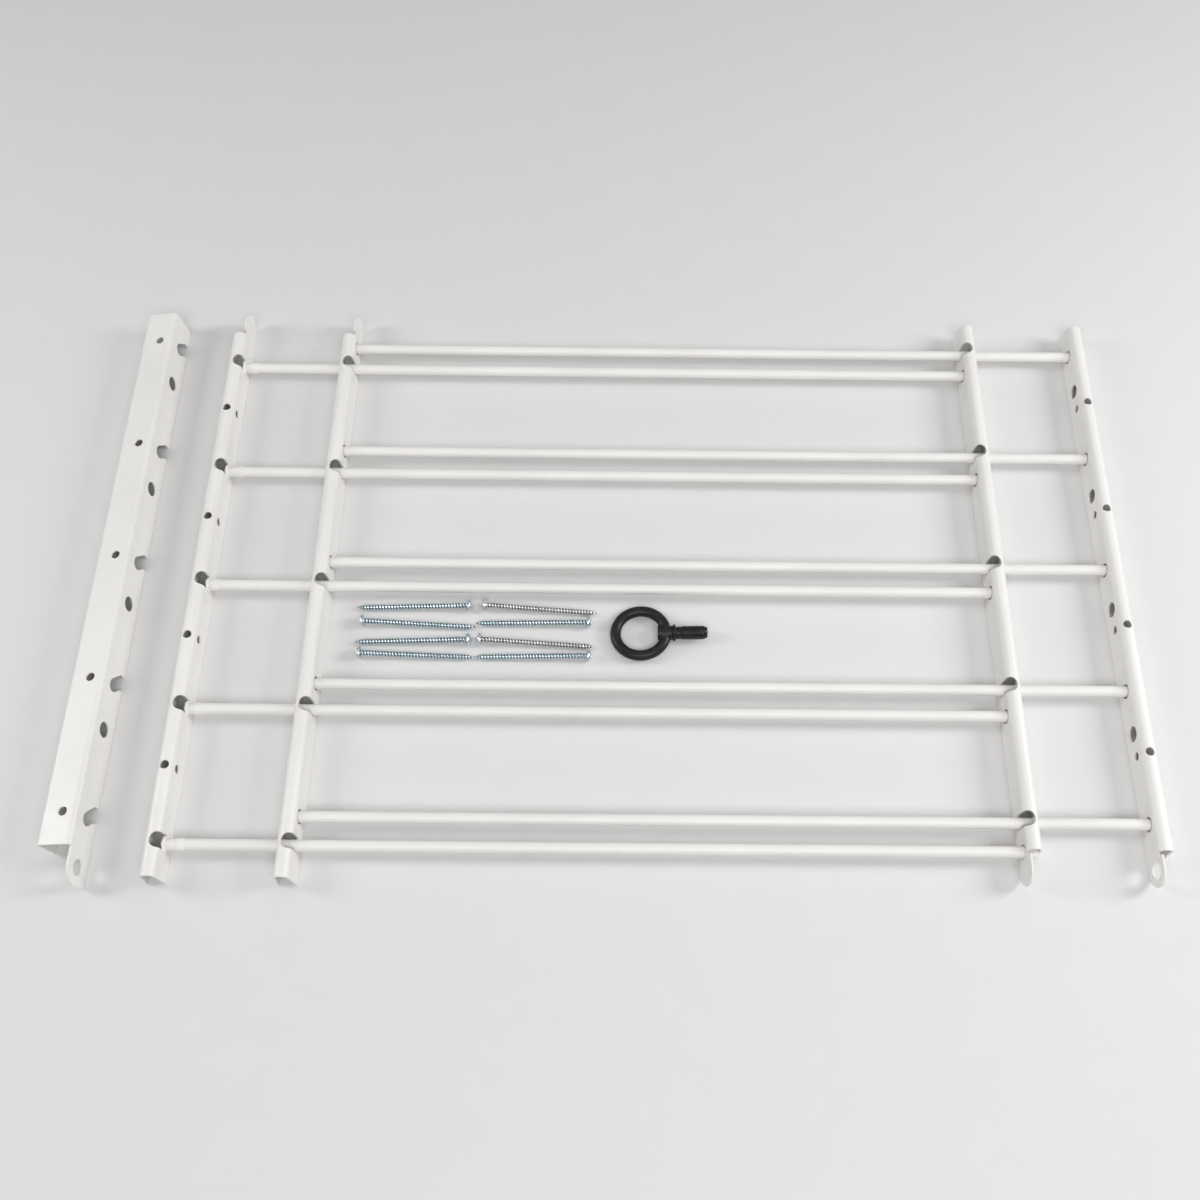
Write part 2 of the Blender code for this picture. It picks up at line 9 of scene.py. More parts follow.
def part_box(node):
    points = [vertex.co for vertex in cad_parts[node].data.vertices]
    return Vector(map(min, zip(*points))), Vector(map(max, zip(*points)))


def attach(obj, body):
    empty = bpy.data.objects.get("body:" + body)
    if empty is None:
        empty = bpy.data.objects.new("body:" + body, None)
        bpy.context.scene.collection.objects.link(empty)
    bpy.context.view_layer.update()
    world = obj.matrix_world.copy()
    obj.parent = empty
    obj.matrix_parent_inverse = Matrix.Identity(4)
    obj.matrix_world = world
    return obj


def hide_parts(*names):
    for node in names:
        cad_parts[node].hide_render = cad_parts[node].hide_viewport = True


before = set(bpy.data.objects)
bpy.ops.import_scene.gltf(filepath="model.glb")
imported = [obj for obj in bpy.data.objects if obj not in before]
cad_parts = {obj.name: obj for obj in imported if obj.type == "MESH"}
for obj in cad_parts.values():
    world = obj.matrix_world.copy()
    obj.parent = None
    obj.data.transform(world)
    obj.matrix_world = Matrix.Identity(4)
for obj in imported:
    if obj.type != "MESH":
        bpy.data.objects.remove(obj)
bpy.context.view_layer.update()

# ---------------------------------------------------------------- dimensions, metres
ROWS = 5
BAYS = ROWS - 1
ROW_PITCH = 0.0970
UPRIGHT_SHEET = 0.0015
CROWN_RADIUS = 0.0050
UPRIGHT_SPLAY = 0.0015
CROWN_STEPS = 12
LUG_LENGTH = 0.0223
LUG_RADIUS = 0.0110
LUG_STEPS = 40
LUG_NECK = 0.0028
LUG_HOLE_RADIUS = 0.0057
OPENING_WIDTH = 0.0105
OPENING_SHIFT = 0.0010
OPENING_STEPS = 20
END_OPENING_REACH = 0.0085
GUIDE_OPENING_REACH = 0.0092
ROD_HOLE_RADIUS = 0.0051
SMALL_HOLE_RADIUS = 0.0030
LARGE_HOLE_RADIUS = 0.0055
SCREW_HOLE_RADIUS = 0.0028
LEFT_HOLE_START = 0.1406
LEFT_HOLE_HEIGHT = 0.0115
RIGHT_HOLE_PITCH = 0.0965
RIGHT_SMALL_HOLE_START = 0.1551
RIGHT_LARGE_HOLE_START = 0.1714
RIGHT_HOLE_HEIGHT = 0.0110

JAMB_FOOT_X = -0.3536
JAMB_WIDTH = 0.0245
JAMB_DEPTH = 0.0260
JAMB_SHORT_DEPTH = 0.0221
JAMB_SHEET = 0.0015
JAMB_BEND = 0.0028
JAMB_BEND_STEPS = 8
JAMB_ENDS = (0.2278, -0.2070)
JAMB_TILT = math.atan((JAMB_DEPTH - JAMB_SHORT_DEPTH) / (JAMB_WIDTH - JAMB_SHEET))
JAMB_CORNER = 0.0050
EAR_LENGTH = 0.0242
EAR_CORNER = 0.0116
EAR_STEPS = 20
EAR_HOLE_RADIUS = 0.0056
EAR_HOLE_FROM_TIP = 0.0120
EAR_HOLE_HEIGHT = 0.0114
SLOT_START = 0.2051
SLOT_MOUTH = (0.0070, -0.0036)
SLOT_POCKET = (-0.0031, 0.0113)
SLOT_RADIUS = 0.0049
SLOT_SLANT = 56  # degrees
SLOT_STEPS = 32
WEB_HOLE_RADIUS = 0.0031
WEB_HOLE_START = 0.2016
WEB_HOLE_PITCH = 0.0965
WEB_HOLE_FROM_RIGHT = 0.0100
ACCESS_HOLE_START = 0.1683
ACCESS_HOLE_HEIGHT = 0.0122

KIT_SHIFT = Vector((0.0026, -0.0018, 0.0))
HOLE_SIDES = 40
CUT_MARGIN = 0.0020
EDGE_ROUND = 0.00028
EDGE_ANGLE = math.radians(42)
EDGE_SEGMENTS = 2
EDGE_MATERIAL = 1  # slot of the worn coat
NORMAL_WEIGHT = 90
WELD_DISTANCE = 1e-6
SLIVER = 2e-5


def kit_box(node):
    low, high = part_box(node)
    return Vector(low) - KIT_SHIFT, Vector(high) - KIT_SHIFT


# ---------------------------------------------------------------- finishes, linear colours
WHITE = (0.855, 0.845, 0.815)
EDGE_SHADE = 0.97
EDGE_WEAR = 0.35
SPECK_COLOUR = (0.42, 0.40, 0.37)
BARE_STEEL = (0.34, 0.335, 0.33)
ZINC_GRIME = (0.25, 0.26, 0.28)
ZINC_BLUE_TINTS = ((0.68, 0.79, 0.83), (0.80, 0.86, 0.89))
# The root tints are painted shade: much darker zinc for the thread's grooves, where shade falls.
ZINC_BLUE_PAINTED_SHADE_TINTS = ((0.13, 0.20, 0.23), (0.22, 0.30, 0.34))
ZINC_GREY_TINTS = ((0.78, 0.78, 0.78), (0.86, 0.86, 0.87))
ZINC_GREY_PAINTED_SHADE_TINTS = ((0.17, 0.17, 0.17), (0.27, 0.27, 0.27))
OXIDE_TINTS = ((0.005, 0.005, 0.006), (0.013, 0.013, 0.015))
OXIDE_RUBBED = (0.045, 0.044, 0.043)
TABLE_TINTS = ((0.735, 0.729, 0.733), (0.755, 0.749, 0.752))


def shade(colour, factor):
    """Colour made darker or lighter, with no channel over 1."""
    return tuple(min(1.0, channel * factor) for channel in colour)


# ---------------------------------------------------------------- node helpers
def new_material(name):
    """Material with an empty tree, a Principled shader and object coordinates."""
    made = bpy.data.materials.new(name)
    made.use_nodes = True
    tree = made.node_tree
    shader = tree.nodes["Principled BSDF"]
    coords = tree.nodes.new("ShaderNodeTexCoord")
    return made, tree, shader, coords.outputs["Object"]


def noise(tree, vector, scale, detail=2.0, roughness=0.5, stretch=None):
    """Noise value on object coordinates, optionally stretched."""
    if stretch:
        mapping = tree.nodes.new("ShaderNodeMapping")
        mapping.inputs["Scale"].default_value = stretch
        tree.links.new(vector, mapping.inputs["Vector"])
        vector = mapping.outputs["Vector"]
    node = tree.nodes.new("ShaderNodeTexNoise")
    node.inputs["Scale"].default_value = scale
    node.inputs["Detail"].default_value = detail
    node.inputs["Roughness"].default_value = roughness
    tree.links.new(vector, node.inputs["Vector"])
    return node.outputs["Fac"]


def remap(tree, value, low, high, to_low, to_high):
    """Clamped linear remap."""
    node = tree.nodes.new("ShaderNodeMapRange")
    node.inputs["From Min"].default_value = low
    node.inputs["From Max"].default_value = high
    node.inputs["To Min"].default_value = to_low
    node.inputs["To Max"].default_value = to_high
    tree.links.new(value, node.inputs["Value"])
    return node.outputs["Result"]


def blend_colour(tree, factor, first, second):
    """Mix two colours, each a tuple or a socket, by a factor socket."""
    node = tree.nodes.new("ShaderNodeMix")
    node.data_type = "RGBA"
    tree.links.new(factor, node.inputs[0])
    for value, socket in ((first, node.inputs[6]), (second, node.inputs[7])):
        if isinstance(value, tuple):
            socket.default_value = (*value, 1.0)
        else:
            tree.links.new(value, socket)
    return node.outputs[2]


def combine_values(tree, operation, first, second):
    """Math node on two values, each a number or a socket."""
    node = tree.nodes.new("ShaderNodeMath")
    node.operation = operation
    for value, socket in ((first, node.inputs[0]), (second, node.inputs[1])):
        if isinstance(value, (int, float)):
            socket.default_value = value
        else:
            tree.links.new(value, socket)
    return node.outputs[0]


def bump_chain(tree, shader, layers):
    """Stack bump layers, each (height socket, distance, strength)."""
    normal = None
    for height, distance, strength in layers:
        node = tree.nodes.new("ShaderNodeBump")
        node.inputs["Distance"].default_value = distance
        node.inputs["Strength"].default_value = strength
        tree.links.new(height, node.inputs["Height"])
        if normal is not None:
            tree.links.new(normal, node.inputs["Normal"])
        normal = node.outputs["Normal"]
    tree.links.new(normal, shader.inputs["Normal"])


def powder_coat(name, base, wear):
    """White powder coat: orange peel, faint mottling, dust specks, rubbed patches and, with wear, chips."""
    made, tree, shader, vector = new_material(name)
    mottle = noise(tree, vector, 14.0, 3.0)
    clouds = noise(tree, vector, 90.0, 2.0)
    mottle = remap(tree, mottle, 0.35, 0.65, 0.0, 1.0)
    colour = blend_colour(tree, mottle, shade(base, 0.965), shade(base, 1.02))
    rub = noise(tree, vector, 55.0, 4.0, 0.6, (0.25, 1.0, 1.0))
    rub = remap(tree, rub, 0.60, 0.74, 0.0, 0.35)
    colour = blend_colour(tree, rub, colour, shade(base, 0.93))
    specks = noise(tree, vector, 1500.0, 0.0)
    speck = remap(tree, specks, 0.80, 0.84, 0.0, 0.5)
    colour = blend_colour(tree, speck, colour, SPECK_COLOUR)
    if wear:
        chips = noise(tree, vector, 420.0, 3.0, 0.65)
        chip = remap(tree, chips, 0.60, 0.68, 0.0, wear)
        colour = blend_colour(tree, chip, colour, BARE_STEEL)
    tree.links.new(colour, shader.inputs["Base Color"])
    rough = remap(tree, clouds, 0.3, 0.7, 0.30, 0.42)
    rough = combine_values(tree, "ADD", rough, combine_values(tree, "MULTIPLY", rub, 0.35))
    tree.links.new(rough, shader.inputs["Roughness"])
    shader.inputs["Specular IOR Level"].default_value = 0.5
    peel = noise(tree, vector, 650.0, 2.0, 0.45)
    grain = noise(tree, vector, 3200.0, 1.0)
    bump_chain(tree, shader, [(peel, 0.00006, 0.55), (grain, 0.00001, 0.35), (specks, 0.00002, 0.2)])
    return made


def zinc_plate(name, tints):
    """Zinc plate: metallic, with patches of two tints, grime and a fine grain."""
    made, tree, shader, vector = new_material(name)
    patches = noise(tree, vector, 210.0, 3.0)
    colour = blend_colour(tree, remap(tree, patches, 0.35, 0.65, 0.0, 1.0), *tints)
    grime = noise(tree, vector, 1100.0, 3.0, 0.7)
    grime = remap(tree, grime, 0.55, 0.8, 0.0, 0.55)
    colour = blend_colour(tree, grime, colour, ZINC_GRIME)
    tree.links.new(colour, shader.inputs["Base Color"])
    shader.inputs["Metallic"].default_value = 1.0
    tree.links.new(remap(tree, patches, 0.3, 0.7, 0.20, 0.36), shader.inputs["Roughness"])
    fine = noise(tree, vector, 5200.0, 2.0)
    bump_chain(tree, shader, [(patches, 0.00003, 0.3), (fine, 0.00001, 0.5)])
    return made


def black_oxide(name):
    """Black oxide on a forging: near black, with a gloss that varies, scale marks and rubbed spots."""
    made, tree, shader, vector = new_material(name)
    patches = noise(tree, vector, 160.0, 4.0, 0.6)
    colour = blend_colour(tree, remap(tree, patches, 0.35, 0.7, 0.0, 1.0), *OXIDE_TINTS)
    scale_marks = noise(tree, vector, 900.0, 3.0, 0.6)
    rubbed = remap(tree, scale_marks, 0.66, 0.80, 0.0, 0.35)
    colour = blend_colour(tree, rubbed, colour, OXIDE_RUBBED)
    tree.links.new(colour, shader.inputs["Base Color"])
    shader.inputs["Metallic"].default_value = 0.0
    shader.inputs["Specular IOR Level"].default_value = 0.38
    tree.links.new(remap(tree, patches, 0.3, 0.7, 0.30, 0.48), shader.inputs["Roughness"])
    bump_chain(tree, shader, [(patches, 0.00030, 0.35), (scale_marks, 0.00008, 0.45)])
    return made


def table_paper(name):
    """Plain pale matt table top."""
    made, tree, shader, vector = new_material(name)
    grain = noise(tree, vector, 40.0, 4.0)
    colour = blend_colour(tree, grain, *TABLE_TINTS)
    tree.links.new(colour, shader.inputs["Base Color"])
    shader.inputs["Roughness"].default_value = 0.65
    shader.inputs["Specular IOR Level"].default_value = 0.3
    return made


# ---------------------------------------------------------------- mesh helpers
def link(name, mesh, materials=()):
    """Put a mesh in the scene as an object."""
    obj = bpy.data.objects.new(name, mesh)
    bpy.context.scene.collection.objects.link(obj)
    for made in materials:
        mesh.materials.append(made)
    return obj


def add_form(name, form, materials=(), weld=True):
    """Weld and orient a bmesh, and link it."""
    if weld:
        bmesh.ops.remove_doubles(form, verts=form.verts, dist=WELD_DISTANCE)
    bmesh.ops.recalc_face_normals(form, faces=form.faces)
    mesh = bpy.data.meshes.new(name)
    form.to_mesh(mesh)
    form.free()
    return link(name, mesh, materials)


def add_face(form, points):
    """Add one face with its own corners."""
    return form.faces.new([form.verts.new(point) for point in points])


def add_prism(form, near, far):
    """Add a closed prism between two matching outlines."""
    count = len(near)
    for i in range(count):
        j = (i + 1) % count
        add_face(form, (near[i], near[j], far[j], far[i]))
    add_face(form, near)
    add_face(form, far)


def add_cylinder(form, centre, axis, radius, length, sides=HOLE_SIDES):
    """Add a closed cylinder centred on a point."""
    turn = Vector((0, 0, 1)).rotation_difference(Vector(axis)).to_matrix().to_4x4()
    place = Matrix.Translation(centre) @ turn
    bmesh.ops.create_cone(
        form, cap_ends=True, segments=sides, radius1=radius, radius2=radius, depth=length, matrix=place
    )


def join_rings(form, rings, looped=False):
    """Join rings of vertices into a tube, whose last ring meets its first when it is looped."""
    following = rings[1:] + rings[:1] if looped else rings[1:]
    count = len(rings[0])
    faces = []
    for first, second in zip(rings, following):
        for i in range(count):
            j = (i + 1) % count
            faces.append(form.faces.new((first[i], first[j], second[j], second[i])))
    return faces


def add_turned(form, profile, sides):
    """Add a closed body turned about +X from (x, radius) pairs."""
    rings = []
    for x, radius in profile:
        ring = []
        for i in range(sides):
            angle = math.tau * i / sides
            ring.append(form.verts.new((x, radius * math.cos(angle), radius * math.sin(angle))))
        rings.append(ring)
    join_rings(form, rings)
    form.faces.new(rings[0])
    form.faces.new(rings[-1])


def arc(centre, radius, start, end, steps):
    """Points of an arc, angles in degrees."""
    points = []
    for i in range(steps + 1):
        angle = math.radians(start + (end - start) * i / steps)
        points.append((centre[0] + radius * math.cos(angle), centre[1] + radius * math.sin(angle)))
    return points


def run_of(start, pitch, count):
    """Places from far to near."""
    return [start - pitch * i for i in range(count)]


def applied(obj):
    """Replace an object's mesh with its evaluated mesh and drop its modifiers."""
    graph = bpy.context.evaluated_depsgraph_get()
    mesh = bpy.data.meshes.new_from_object(obj.evaluated_get(graph), depsgraph=graph)
    obj.modifiers.clear()
    obj.data = mesh
    return obj


def boolean_all(obj, cutters, operation="DIFFERENCE"):
    """Cut away or join each bmesh in a list, then apply the result and remove the helpers."""
    helpers = []
    for index, form in enumerate(cutters):
        helper = add_form(f"{obj.name}_helper_{index}", form)
        modifier = obj.modifiers.new(helper.name, "BOOLEAN")
        modifier.operation = operation
        modifier.solver = "MANIFOLD"
        modifier.object = helper
        helpers.append(helper)
    applied(obj)
    for helper in helpers:
        bpy.data.objects.remove(helper)
    return obj


def round_edges(obj):
    """Close slivers left by cuts, round and wear every sharp edge, and weight the normals by area."""
    form = bmesh.new()
    form.from_mesh(obj.data)
    bmesh.ops.remove_doubles(form, verts=form.verts, dist=SLIVER)
    form.to_mesh(obj.data)
    form.free()
    bevel = obj.modifiers.new("round", "BEVEL")
    bevel.width = EDGE_ROUND
    bevel.segments = EDGE_SEGMENTS
    bevel.limit_method = "ANGLE"
    bevel.angle_limit = EDGE_ANGLE
    bevel.use_clamp_overlap = False
    bevel.miter_outer = "MITER_ARC"
    bevel.material = EDGE_MATERIAL
    obj.data.shade_smooth()
    weighted = obj.modifiers.new("normals", "WEIGHTED_NORMAL")
    weighted.mode = "FACE_AREA"
    weighted.weight = NORMAL_WEIGHT
    weighted.keep_sharp = False
    return applied(obj)


def finish_piece(obj, body, slot, *nodes):
    obj.data.transform(Matrix.Translation(KIT_SHIFT))
    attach(obj, body)
    if nodes:
        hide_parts(*nodes)
    return obj


# ---------------------------------------------------------------- folded channels
def channel_section(left, right, depth, sheet, bend, steps, left_foot=0, splay=0):
    """Left flange, crown and right flange as (x, z) outlines. Flanges lean in by splay, foot to bend."""
    bend_z = depth - bend
    inner = bend - sheet
    high_left = left + splay
    high_right = right - splay
    left_flange = [(left, left_foot), (high_left, bend_z)]
    left_flange += [(high_left + sheet, bend_z), (left + sheet, left_foot)]
    right_flange = [(right - sheet, 0), (high_right - sheet, bend_z), (high_right, bend_z), (right, 0)]
    crown = arc((high_left + bend, bend_z), bend, 180, 90, steps)
    crown += arc((high_right - bend, bend_z), bend, 90, 0, steps)
    crown += arc((high_right - bend, bend_z), inner, 0, 90, steps)
    crown += arc((high_left + bend, bend_z), inner, 90, 180, steps)
    return {"left": left_flange, "crown": crown, "right": right_flange}


def add_channel(form, section, ends, open_ends):
    """Walls and end faces, open where a lug carries on."""
    half = len(section["crown"]) // 2
    left, crown, right = section["left"], section["crown"], section["right"]
    outline = left[:1] + crown[:half] + [right[3], right[0]] + crown[half:] + [left[3]]
    for (x1, z1), (x2, z2) in zip(outline, outline[1:] + outline[:1]):
        add_face(form, [(x1, ends[0], z1), (x2, ends[0], z2), (x2, ends[1], z2), (x1, ends[1], z1)])
    for index, y in enumerate(ends):
        for side, piece in section.items():
            if (side, index) not in open_ends:
                add_face(form, [(x, y, z) for x, z in piece])


def add_lug(form, outline, x_low, x_high, lean=0):
    """Flat lug that carries a flange on, leaning with it."""
    faces = [[(x + lean * z, y, z) for y, z in outline] for x in (x_low, x_high)]
    for corners in faces:
        add_face(form, corners)
    for low1, low2, high1, high2 in zip(faces[0], faces[0][1:], faces[1], faces[1][1:]):
        add_face(form, [low1, low2, high2, high1])


def flange_holes(face_x, inward, places, radius, height, sheet=UPRIGHT_SHEET):
    """Cutter for round holes in one flange."""
    form = bmesh.new()
    for y in places:
        centre = (face_x + inward * sheet / 2, y, height)
        add_cylinder(form, centre, (1, 0, 0), radius, sheet + 2 * CUT_MARGIN)
    return form


def top_holes(x, places, radius, top, sheet=UPRIGHT_SHEET):
    """Cutter for round holes down through a crown or web."""
    form = bmesh.new()
    for y in places:
        add_cylinder(form, (x, y, top - sheet / 2), (0, 0, 1), radius, sheet + 3 * CUT_MARGIN)
    return form


def shoulder_openings(face_x, inward, reach, rows, rod_z, top):
    """Cutters for the rod openings: obround from above, half-round at the foot."""
    half = OPENING_WIDTH / 2
    outside = face_x - inward * CUT_MARGIN
    upper = bmesh.new()
    for rod_y in rows:
        y = rod_y + OPENING_SHIFT
        plan = [(outside, y - half)]
        for along, across in arc((reach - half, y), half, -90, 90, OPENING_STEPS):
            plan.append((face_x + inward * along, across))
        plan.append((outside, y + half))
        high = top + CUT_MARGIN
        add_prism(upper, [(x, py, rod_z) for x, py in plan], [(x, py, high) for x, py in plan])
    lower = flange_holes(face_x, inward, [y + OPENING_SHIFT for y in rows], half, rod_z)
    return [upper, lower]


def upright_lug_outline(start, way, depth):
    """Side view of an upright's lug."""
    centre = start + way * (LUG_LENGTH - LUG_RADIUS)
    neck = start + way * LUG_NECK
    outline = [(start, 0)]
    for along, z in arc((0, LUG_RADIUS), LUG_RADIUS, -90, 90, LUG_STEPS):
        outline.append((centre + way * along, z))
    outline += [(neck, depth), (neck, depth - CROWN_RADIUS), (start, depth - CROWN_RADIUS)]
    return outline


def upright(node, lug, holed, cutters_for, body):
    """Detailed upright in place of its CAD node. cutters_for(left, right, top) lists its cutters."""
    low, high = kit_box(node)
    section = channel_section(
        low.x, high.x, high.z, UPRIGHT_SHEET, CROWN_RADIUS, CROWN_STEPS, splay=UPRIGHT_SPLAY
    )
    form = bmesh.new()
    lean = UPRIGHT_SPLAY / (high.z - CROWN_RADIUS)
    if lug == "far right":
        ends = (high.y - LUG_LENGTH, low.y)
        index, side, way, lean = 0, "right", 1, -lean
    else:
        ends = (high.y, low.y + LUG_LENGTH)
        index, side, way = 1, "left", -1
    x_low = section[side][0][0]
    x_high = x_low + UPRIGHT_SHEET
    add_channel(form, section, ends, {(side, index)})
    add_lug(form, upright_lug_outline(ends[index], way, high.z), x_low, x_high, lean)
    obj = add_form(node + "_sheet", form, (COAT, COAT_EDGE))
    cutters = cutters_for(low.x, high.x, high.z)
    if holed:
        centre_y = ends[index] + way * (LUG_LENGTH - LUG_RADIUS)
        cutters.append(flange_holes(x_low, 1, [centre_y], LUG_HOLE_RADIUS, LUG_RADIUS))
    boolean_all(obj, cutters)
    round_edges(obj)
    return finish_piece(obj, body, "white_powder_coat", node)


def rod_rows(side):
    """Y of each rod of a frame, and the height of its axis."""
    boxes = [kit_box(f"{side}_rod_{i + 1}") for i in range(ROWS)]
    height = (boxes[0][0].z + boxes[0][1].z) / 2
    return [(low.y + high.y) / 2 for low, high in boxes], height


def slot_outline(y):
    """Side view of one slanted slot of the jamb channel."""
    slope = math.tan(math.radians(SLOT_SLANT))
    pocket = (y + SLOT_POCKET[0], SLOT_POCKET[1])
    turn = 90 - SLOT_SLANT
    round_end = arc(pocket, SLOT_RADIUS, turn, turn + 180, SLOT_STEPS)
    far, near = y + SLOT_MOUTH[0], y + SLOT_MOUTH[1]
    far_z = round_end[0][1] - slope * (far - round_end[0][0])
    near_z = round_end[-1][1] - slope * (near - round_end[-1][0])
    return [(far, -CUT_MARGIN), (far, far_z)] + round_end + [(near, near_z), (near, -CUT_MARGIN)]


def far_corner_outline():
    """What rounds the lower corner of the right flange's far end."""
    end = JAMB_ENDS[0]
    outline = [(end - JAMB_CORNER, -CUT_MARGIN)]
    outline += arc((end - JAMB_CORNER, JAMB_CORNER), JAMB_CORNER, 270, 360, EAR_STEPS)
    return outline + [(end + CUT_MARGIN, JAMB_CORNER), (end + CUT_MARGIN, -CUT_MARGIN)]


def jamb_channel(body):
    """Detailed jamb channel, built square and then tilted onto its flanges' free edges."""
    left = JAMB_SHEET - JAMB_WIDTH
    foot = JAMB_DEPTH - JAMB_SHORT_DEPTH
    top = JAMB_DEPTH - JAMB_BEND
    section = channel_section(left, JAMB_SHEET, JAMB_DEPTH, JAMB_SHEET, JAMB_BEND, JAMB_BEND_STEPS, foot)
    form = bmesh.new()
    add_channel(form, section, JAMB_ENDS, {("right", 1)})
    tip = JAMB_ENDS[1] - EAR_LENGTH
    ear = [(JAMB_ENDS[1], 0), (tip, 0)]
    ear += arc((tip + EAR_CORNER, top - EAR_CORNER), EAR_CORNER, 180, 90, EAR_STEPS)
    ear.append((JAMB_ENDS[1], top))
    add_lug(form, ear, 0, JAMB_SHEET)
    obj = add_form("jamb_channel_sheet", form, (COAT, COAT_EDGE))
    slots = bmesh.new()
    outlines = [slot_outline(y) for y in run_of(SLOT_START, ROW_PITCH, ROWS)] + [far_corner_outline()]
    for outline in outlines:
        near = [(-CUT_MARGIN, y, z) for y, z in outline]
        add_prism(slots, near, [(JAMB_SHEET + CUT_MARGIN, y, z) for y, z in outline])
    access = run_of(ACCESS_HOLE_START, ROW_PITCH, BAYS)
    web = run_of(WEB_HOLE_START, WEB_HOLE_PITCH, ROWS)
    cutters = [
        slots,
        flange_holes(0, 1, access, LARGE_HOLE_RADIUS, ACCESS_HOLE_HEIGHT),
        flange_holes(left, 1, access, SCREW_HOLE_RADIUS, ACCESS_HOLE_HEIGHT),
        flange_holes(0, 1, [tip + EAR_HOLE_FROM_TIP], EAR_HOLE_RADIUS, EAR_HOLE_HEIGHT),
        top_holes(JAMB_SHEET - WEB_HOLE_FROM_RIGHT, web, WEB_HOLE_RADIUS, JAMB_DEPTH),
    ]
    boolean_all(obj, cutters)
    round_edges(obj)
    obj.data.transform(Matrix.Translation((JAMB_FOOT_X, 0, 0)) @ Matrix.Rotation(-JAMB_TILT, 4, "Y"))
    return finish_piece(obj, body, "white_powder_coat", "jamb_channel")


# ---------------------------------------------------------------- rods and welds
ROD_SIDES = 44
ROD_STEPS = 48
ROD_CORE = 0.0012
ROD_BREAK = ((0.0, 0.0006), (0.0002, 0.0002), (0.0007, 0.0))  # (from the end, in from the radius)
ROD_WAVE = 0.00003
ROD_WAVE_RATES = (61.0, 23.0)  # radians per metre
ROD_WAVE_SHIFT = 1.3
ROD_SHARP = math.radians(50)

BEAD_AROUND = 72
BEAD_ACROSS = 14
BEAD_WAVES = (15, 3, 7, 5)  # waves round a bead, one for each random phase
BEAD_RIPPLE = 0.10
BEAD_SWELL = 0.07
BEAD_SWAY = 0.12
WELD_INSET = 0.0008
WELD_MAJOR = 0.0044
WELD_MINOR = 0.0012
LUMP_REACH = 0.0032
LUMP_PLACES = 3  # how many distances from the upright, in steps of the reach
LUMP_MAJOR = 0.0036
LUMP_MINOR = 0.0008
LUMP_LENGTH = 4.0  # times its thickness
LUMP_SEED = 20


def rod_piece(node, body):
    """Round rod with broken ends and a hair of waviness in its coating."""
    low, high = kit_box(node)
    radius = (high.y - low.y) / 2
    centre_y = (low.y + high.y) / 2
    centre_z = (low.z + high.z) / 2
    length = high.x - low.x
    end = [(along, radius - inward) for along, inward in ROD_BREAK]
    broken = ROD_BREAK[-1][0]
    fast, slow = ROD_WAVE_RATES
    profile = [(0, ROD_CORE)] + end
    for i in range(1, ROD_STEPS):
        x = broken + (length - 2 * broken) * i / ROD_STEPS
        wave = math.sin(x * fast) * math.sin(x * slow + ROD_WAVE_SHIFT)
        profile.append((x, radius - ROD_WAVE * (1 + wave)))
    profile += [(length - along, across) for along, across in reversed(end)] + [(length, ROD_CORE)]
    form = bmesh.new()
    add_turned(form, profile, ROD_SIDES)
    bmesh.ops.translate(form, verts=form.verts, vec=(low.x, centre_y, centre_z))
    obj = add_form(node + "_bar", form, (COAT_ROD,), weld=False)
    obj.data.shade_smooth()
    obj.data.set_sharp_from_angle(angle=ROD_SHARP)
    return finish_piece(obj, body, "white_powder_coat", node)


def weld_bead(name, centre, major, minor, seed, body, stretch=1.0):
    """Rippled bead of weld round a rod, under the coating. Its axis is +X."""
    rng = np.random.default_rng(seed)
    phases = rng.uniform(0, math.tau, len(BEAD_WAVES))
    form = bmesh.new()
    rings = []
    for i in range(BEAD_AROUND):
        turn = math.tau * i / BEAD_AROUND
        waves = [math.sin(count * turn + phase) for count, phase in zip(BEAD_WAVES, phases)]
        ripple = BEAD_RIPPLE * waves[0] + BEAD_RIPPLE * waves[1]
        size = minor * (1 + ripple + BEAD_SWELL * waves[2])
        shift = BEAD_SWAY * minor * waves[3]
        ring = []
        for j in range(BEAD_ACROSS):
            angle = math.tau * j / BEAD_ACROSS
            out = major + size * math.cos(angle)
            x = shift + size * stretch * math.sin(angle)
            ring.append(form.verts.new((x, out * math.cos(turn), out * math.sin(turn))))
        rings.append(ring)
    join_rings(form, rings, looped=True)
    bmesh.ops.translate(form, verts=form.verts, vec=centre)
    obj = add_form(name, form, (COAT_ROD,), weld=False)
    obj.data.shade_smooth()
    return finish_piece(obj, body, "white_powder_coat")


# ---------------------------------------------------------------- screws
SCREW_LENGTH = 0.0850
SCREW_RADIUS = 0.0024
SCREW_CORE = 0.0017
SCREW_HEAD_RADIUS = 0.0046
SCREW_HEAD_HEIGHT = 0.0032
SCREW_TIP_LENGTH = 0.0055
THREAD_PITCH = 0.0022
SCREW_SIDES = 28
SAMPLES_PER_PITCH = 9
THREAD_START = SCREW_HEAD_HEIGHT + 0.0010
THREAD_HALF_WIDTH = 0.30  # share of the pitch
THREAD_RUN_IN = 0.003
THREAD_FIRST_SHARE = 0.2
TIP_SHARE = 0.06  # of the radius, left at the point
TIP_CURVE = 0.8
DOME_ARC = (76, 4)  # degrees
DOME_STEPS = 9
DOME_HEIGHT = 0.0021
DOME_TOP_SHARE = 0.18  # of the head's radius
DOME_SIDE_SHARE = 0.82
HEAD_PROFILE = (
    (0.0026, SCREW_HEAD_RADIUS),
    (0.00305, SCREW_HEAD_RADIUS - 0.00012),
    (SCREW_HEAD_HEIGHT, SCREW_HEAD_RADIUS - 0.0005),
    (SCREW_HEAD_HEIGHT, SCREW_CORE + 0.0006),
    (SCREW_HEAD_HEIGHT + 0.0006, SCREW_CORE + 0.0002),
)
RECESS_DEPTH = 0.0016
